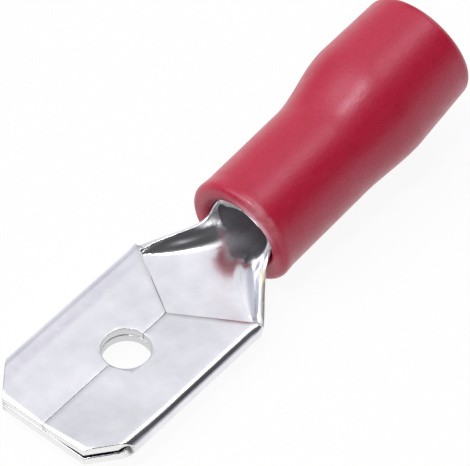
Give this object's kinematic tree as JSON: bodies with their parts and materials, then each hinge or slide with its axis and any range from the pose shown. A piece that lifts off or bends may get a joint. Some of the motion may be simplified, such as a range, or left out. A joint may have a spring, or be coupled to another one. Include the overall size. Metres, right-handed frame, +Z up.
{
  "type": "male spade terminal",
  "caption": "Male spade terminal: folded tin-plated blade with a detent hole, curled neck and crimp barrel in a flared red plastic sleeve.",
  "frame": {"origin": "on the surface below the part, under the middle of its bounding box", "axes": "+X from the blade's tip to the wire's end, +Y across the blade, +Z up, away from the blade's unbroken underside"},
  "size_m": [0.022, 0.0064, 0.0061],
  "materials": {
    "tinned_brass": "bright tin plate over brass sheet, slightly wavy",
    "red_plastic": "satin red PVC"
  },
  "bodies": {
    "root": {"terminal": "tinned_brass", "insulating_sleeve": "red_plastic"}
  },
  "joints": []
}
